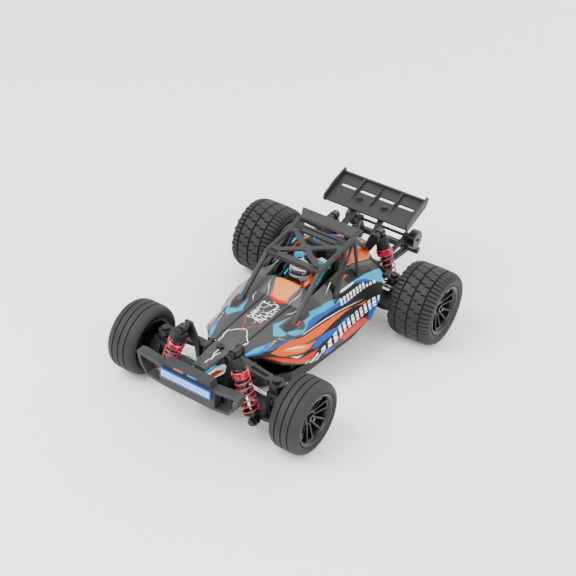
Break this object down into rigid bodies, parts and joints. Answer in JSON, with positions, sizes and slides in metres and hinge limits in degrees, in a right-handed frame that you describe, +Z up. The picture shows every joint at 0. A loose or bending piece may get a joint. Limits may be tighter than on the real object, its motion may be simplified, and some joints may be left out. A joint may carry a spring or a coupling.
{
  "type": "radio-control buggy",
  "caption": "Four-wheel-drive radio-control desert buggy with sprung arms, steering front wheels, a roll cage with a driver, a rear wing and a wheelie bar.",
  "frame": {"origin": "on the ground plane, under the middle of the bounding box", "axes": "+Z up, -Y forwards, +X to the left of the car"},
  "size_m": [0.2092, 0.305, 0.1016],
  "materials": {
    "arm_plastic": "satin moulded nylon",
    "tub_plastic": "matt moulded nylon",
    "cage_plastic": "satin dark grey",
    "body_paint": "gloss, painted with blue, orange and cyan slashes",
    "driver_paint": "gloss",
    "lamp": "clear lens, lit from behind",
    "rim_black": "gloss black",
    "tyre_rubber": "soft rubber",
    "shaft_steel": "turned",
    "shock_red": "red lacquer",
    "shock_black": "gloss black with a red collar",
    "rod_steel": "polished",
    "battery_case": "hard case",
    "motor_can": "plated steel",
    "radio_black": "matt"
  },
  "bodies": {
    "chassis": {"chassis_tub": "tub_plastic", "front_gearbox": "tub_plastic", "rear_gearbox": "tub_plastic", "front_shock_tower": "tub_plastic", "rear_shock_tower": "tub_plastic", "body_shell": "body_paint", "roll_cage": "cage_plastic", "driver_figure": "driver_paint", "front_bumper": "cage_plastic", "led_light_bar": "lamp", "rear_wing": "cage_plastic", "wheelie_bar": "cage_plastic", "battery_pack": "battery_case", "motor": "motor_can", "radio_gear": "radio_black", "screws": "shaft_steel"},
    "centre_drive_shaft": {"centre_drive_shaft": "shaft_steel"},
    "motor_pinion": {"motor_pinion": "shaft_steel"},
    "wheelie_wheels": {"wheelie_wheels": "rim_black"},
    "steering_rack": {"steering_rack": "arm_plastic"},
    "front_left_lower_arm": {"front_left_lower_arm": "arm_plastic"},
    "front_left_upper_arm": {"front_left_upper_arm": "arm_plastic"},
    "front_left_hub_carrier": {"front_left_hub_carrier": "arm_plastic"},
    "front_left_drive_shaft": {"front_left_drive_shaft": "shaft_steel"},
    "front_left_shock_rod": {"front_left_shock_rod": "rod_steel"},
    "front_left_shock": {"front_left_shock_body": "shock_black", "front_left_shock_spring": "shock_red"},
    "front_left_wheel": {"front_left_rim": "rim_black", "front_left_tyre": "tyre_rubber"},
    "front_left_knuckle": {"front_left_knuckle": "arm_plastic"},
    "tie_rod_left": {"tie_rod_left": "arm_plastic"},
    "front_right_lower_arm": {"front_right_lower_arm": "arm_plastic"},
    "front_right_upper_arm": {"front_right_upper_arm": "arm_plastic"},
    "front_right_hub_carrier": {"front_right_hub_carrier": "arm_plastic"},
    "front_right_drive_shaft": {"front_right_drive_shaft": "shaft_steel"},
    "front_right_shock_rod": {"front_right_shock_rod": "rod_steel"},
    "front_right_shock": {"front_right_shock_body": "shock_black", "front_right_shock_spring": "shock_red"},
    "front_right_wheel": {"front_right_rim": "rim_black", "front_right_tyre": "tyre_rubber"},
    "front_right_knuckle": {"front_right_knuckle": "arm_plastic"},
    "tie_rod_right": {"tie_rod_right": "arm_plastic"},
    "rear_left_lower_arm": {"rear_left_lower_arm": "arm_plastic"},
    "rear_left_upper_arm": {"rear_left_upper_arm": "arm_plastic"},
    "rear_left_hub_carrier": {"rear_left_hub_carrier": "arm_plastic"},
    "rear_left_drive_shaft": {"rear_left_drive_shaft": "shaft_steel"},
    "rear_left_shock_rod": {"rear_left_shock_rod": "rod_steel"},
    "rear_left_shock": {"rear_left_shock_body": "shock_black", "rear_left_shock_spring": "shock_red"},
    "rear_left_wheel": {"rear_left_rim": "rim_black", "rear_left_tyre": "tyre_rubber"},
    "rear_right_lower_arm": {"rear_right_lower_arm": "arm_plastic"},
    "rear_right_upper_arm": {"rear_right_upper_arm": "arm_plastic"},
    "rear_right_hub_carrier": {"rear_right_hub_carrier": "arm_plastic"},
    "rear_right_drive_shaft": {"rear_right_drive_shaft": "shaft_steel"},
    "rear_right_shock_rod": {"rear_right_shock_rod": "rod_steel"},
    "rear_right_shock": {"rear_right_shock_body": "shock_black", "rear_right_shock_spring": "shock_red"},
    "rear_right_wheel": {"rear_right_rim": "rim_black", "rear_right_tyre": "tyre_rubber"}
  },
  "joints": [
    {"name": "steering_slide", "type": "slide", "parent": "chassis", "child": "steering_rack", "axis": [1, 0, 0], "range_m": [-0.00415, 0.00415]},
    {"name": "centre_shaft_spin", "type": "hinge", "parent": "chassis", "child": "centre_drive_shaft", "pos_m": [0, 0, 0.036], "axis": [0, 1, 0], "continuous": true},
    {"name": "pinion_spin", "type": "hinge", "parent": "chassis", "child": "motor_pinion", "pos_m": [0.01527, 0.0525, 0.029], "axis": [0, 1, 0], "continuous": true},
    {"name": "wheelie_spin", "type": "hinge", "parent": "chassis", "child": "wheelie_wheels", "pos_m": [0, 0.1435, 0.047], "axis": [1, 0, 0], "continuous": true},
    {"name": "front_left_arm_swing", "type": "hinge", "parent": "chassis", "child": "front_left_lower_arm", "pos_m": [0.017, -0.107, 0.022], "axis": [0, -1, 0], "range_deg": [0, 13], "stiffness_Nm_per_rad": 1.2, "springref_deg": -17.19},
    {"name": "front_left_upper_swing", "type": "hinge", "parent": "chassis", "child": "front_left_upper_arm", "pos_m": [0.013, -0.107, 0.054], "axis": [0, -1, 0], "range_deg": [0, 13]},
    {"name": "front_left_hub_tilt", "type": "hinge", "parent": "front_left_lower_arm", "child": "front_left_hub_carrier", "pos_m": [0.059, -0.107, 0.017], "axis": [0, -1, 0], "range_deg": [-13, 0]},
    {"name": "front_left_shaft_swing", "type": "hinge", "parent": "chassis", "child": "front_left_drive_shaft", "pos_m": [0.018, -0.107, 0.036], "axis": [0, -1, 0], "range_deg": [0, 13]},
    {"name": "front_left_shock_swing", "type": "hinge", "parent": "chassis", "child": "front_left_shock", "pos_m": [0.0255, -0.123, 0.074], "axis": [0, -1, 0], "range_deg": [0, 3.04]},
    {"name": "front_left_shock_stroke", "type": "slide", "parent": "front_left_shock", "child": "front_left_shock_rod", "axis": [-0.3411, 0, 0.94], "range_m": [0, 0.0061], "deforming": ["front_left_shock_spring"]},
    {"name": "front_left_steer", "type": "hinge", "parent": "front_left_hub_carrier", "child": "front_left_knuckle", "pos_m": [0.06, -0.107, 0.031], "axis": [0, 0, 1], "range_deg": [-20.5, 20.5]},
    {"name": "front_left_wheel_spin", "type": "hinge", "parent": "front_left_knuckle", "child": "front_left_wheel", "pos_m": [0.0806, -0.107, 0.031], "axis": [1, 0, 0], "continuous": true},
    {"name": "tie_rod_left_tilt", "type": "hinge", "parent": "steering_rack", "child": "tie_rod_left", "pos_m": [0.018, -0.095, 0.044], "axis": [0, -1, 0], "range_deg": [0, 13]},
    {"name": "front_right_arm_swing", "type": "hinge", "parent": "chassis", "child": "front_right_lower_arm", "pos_m": [-0.017, -0.107, 0.022], "axis": [0, 1, 0], "range_deg": [0, 13], "stiffness_Nm_per_rad": 1.2, "springref_deg": -17.19},
    {"name": "front_right_upper_swing", "type": "hinge", "parent": "chassis", "child": "front_right_upper_arm", "pos_m": [-0.013, -0.107, 0.054], "axis": [0, 1, 0], "range_deg": [0, 13]},
    {"name": "front_right_hub_tilt", "type": "hinge", "parent": "front_right_lower_arm", "child": "front_right_hub_carrier", "pos_m": [-0.059, -0.107, 0.017], "axis": [0, 1, 0], "range_deg": [-13, 0]},
    {"name": "front_right_shaft_swing", "type": "hinge", "parent": "chassis", "child": "front_right_drive_shaft", "pos_m": [-0.018, -0.107, 0.036], "axis": [0, 1, 0], "range_deg": [0, 13]},
    {"name": "front_right_shock_swing", "type": "hinge", "parent": "chassis", "child": "front_right_shock", "pos_m": [-0.0255, -0.123, 0.074], "axis": [0, 1, 0], "range_deg": [0, 3.04]},
    {"name": "front_right_shock_stroke", "type": "slide", "parent": "front_right_shock", "child": "front_right_shock_rod", "axis": [0.3411, 0, 0.94], "range_m": [0, 0.0061], "deforming": ["front_right_shock_spring"]},
    {"name": "front_right_steer", "type": "hinge", "parent": "front_right_hub_carrier", "child": "front_right_knuckle", "pos_m": [-0.06, -0.107, 0.031], "axis": [0, 0, 1], "range_deg": [-20.5, 20.5]},
    {"name": "front_right_wheel_spin", "type": "hinge", "parent": "front_right_knuckle", "child": "front_right_wheel", "pos_m": [-0.0806, -0.107, 0.031], "axis": [1, 0, 0], "continuous": true},
    {"name": "tie_rod_right_tilt", "type": "hinge", "parent": "steering_rack", "child": "tie_rod_right", "pos_m": [-0.018, -0.095, 0.044], "axis": [0, 1, 0], "range_deg": [0, 13]},
    {"name": "rear_left_arm_swing", "type": "hinge", "parent": "chassis", "child": "rear_left_lower_arm", "pos_m": [0.017, 0.078, 0.021], "axis": [0, -1, 0], "range_deg": [0, 13], "stiffness_Nm_per_rad": 1.2, "springref_deg": -17.19},
    {"name": "rear_left_upper_swing", "type": "hinge", "parent": "chassis", "child": "rear_left_upper_arm", "pos_m": [0.013, 0.078, 0.0485], "axis": [0, -1, 0], "range_deg": [0, 13]},
    {"name": "rear_left_hub_tilt", "type": "hinge", "parent": "rear_left_lower_arm", "child": "rear_left_hub_carrier", "pos_m": [0.055, 0.078, 0.019], "axis": [0, -1, 0], "range_deg": [-13, 0]},
    {"name": "rear_left_shaft_swing", "type": "hinge", "parent": "chassis", "child": "rear_left_drive_shaft", "pos_m": [0.018, 0.078, 0.036], "axis": [0, -1, 0], "range_deg": [0, 13]},
    {"name": "rear_left_shock_swing", "type": "hinge", "parent": "chassis", "child": "rear_left_shock", "pos_m": [0.024, 0.094, 0.074], "axis": [0, -1, 0], "range_deg": [0, 2.41]},
    {"name": "rear_left_shock_stroke", "type": "slide", "parent": "rear_left_shock", "child": "rear_left_shock_rod", "axis": [-0.3417, 0, 0.9398], "range_m": [0, 0.00582], "deforming": ["rear_left_shock_spring"]},
    {"name": "rear_left_wheel_spin", "type": "hinge", "parent": "rear_left_hub_carrier", "child": "rear_left_wheel", "pos_m": [0.0836, 0.078, 0.034], "axis": [1, 0, 0], "continuous": true},
    {"name": "rear_right_arm_swing", "type": "hinge", "parent": "chassis", "child": "rear_right_lower_arm", "pos_m": [-0.017, 0.078, 0.021], "axis": [0, 1, 0], "range_deg": [0, 13], "stiffness_Nm_per_rad": 1.2, "springref_deg": -17.19},
    {"name": "rear_right_upper_swing", "type": "hinge", "parent": "chassis", "child": "rear_right_upper_arm", "pos_m": [-0.013, 0.078, 0.0485], "axis": [0, 1, 0], "range_deg": [0, 13]},
    {"name": "rear_right_hub_tilt", "type": "hinge", "parent": "rear_right_lower_arm", "child": "rear_right_hub_carrier", "pos_m": [-0.055, 0.078, 0.019], "axis": [0, 1, 0], "range_deg": [-13, 0]},
    {"name": "rear_right_shaft_swing", "type": "hinge", "parent": "chassis", "child": "rear_right_drive_shaft", "pos_m": [-0.018, 0.078, 0.036], "axis": [0, 1, 0], "range_deg": [0, 13]},
    {"name": "rear_right_shock_swing", "type": "hinge", "parent": "chassis", "child": "rear_right_shock", "pos_m": [-0.024, 0.094, 0.074], "axis": [0, 1, 0], "range_deg": [0, 2.41]},
    {"name": "rear_right_shock_stroke", "type": "slide", "parent": "rear_right_shock", "child": "rear_right_shock_rod", "axis": [0.3417, 0, 0.9398], "range_m": [0, 0.00582], "deforming": ["rear_right_shock_spring"]},
    {"name": "rear_right_wheel_spin", "type": "hinge", "parent": "rear_right_hub_carrier", "child": "rear_right_wheel", "pos_m": [-0.0836, 0.078, 0.034], "axis": [1, 0, 0], "continuous": true}
  ],
  "couplings": [
    {"joint": "pinion_spin", "follows": "centre_shaft_spin", "ratio": -2.5},
    {"joint": "front_left_upper_swing", "follows": "front_left_arm_swing", "ratio": 1},
    {"joint": "front_left_hub_tilt", "follows": "front_left_arm_swing", "ratio": -1},
    {"joint": "front_left_shaft_swing", "follows": "front_left_arm_swing", "ratio": 1},
    {"joint": "front_left_shock_swing", "follows": "front_left_arm_swing", "ratio": 0.2105},
    {"joint": "front_left_shock_stroke", "follows": "front_left_arm_swing", "m_per_rad": 0.02666},
    {"joint": "front_left_steer", "follows": "steering_slide", "rad_per_m": -83.333},
    {"joint": "tie_rod_left_tilt", "follows": "front_left_arm_swing", "ratio": 1},
    {"joint": "front_right_upper_swing", "follows": "front_right_arm_swing", "ratio": 1},
    {"joint": "front_right_hub_tilt", "follows": "front_right_arm_swing", "ratio": -1},
    {"joint": "front_right_shaft_swing", "follows": "front_right_arm_swing", "ratio": 1},
    {"joint": "front_right_shock_swing", "follows": "front_right_arm_swing", "ratio": 0.2105},
    {"joint": "front_right_shock_stroke", "follows": "front_right_arm_swing", "m_per_rad": 0.02666},
    {"joint": "front_right_steer", "follows": "steering_slide", "rad_per_m": -83.333},
    {"joint": "tie_rod_right_tilt", "follows": "front_right_arm_swing", "ratio": 1},
    {"joint": "rear_left_upper_swing", "follows": "rear_left_arm_swing", "ratio": 1},
    {"joint": "rear_left_hub_tilt", "follows": "rear_left_arm_swing", "ratio": -1},
    {"joint": "rear_left_shaft_swing", "follows": "rear_left_arm_swing", "ratio": 1},
    {"joint": "rear_left_shock_swing", "follows": "rear_left_arm_swing", "ratio": 0.162},
    {"joint": "rear_left_shock_stroke", "follows": "rear_left_arm_swing", "m_per_rad": 0.02544},
    {"joint": "rear_right_upper_swing", "follows": "rear_right_arm_swing", "ratio": 1},
    {"joint": "rear_right_hub_tilt", "follows": "rear_right_arm_swing", "ratio": -1},
    {"joint": "rear_right_shaft_swing", "follows": "rear_right_arm_swing", "ratio": 1},
    {"joint": "rear_right_shock_swing", "follows": "rear_right_arm_swing", "ratio": 0.162},
    {"joint": "rear_right_shock_stroke", "follows": "rear_right_arm_swing", "m_per_rad": 0.02544}
  ]
}
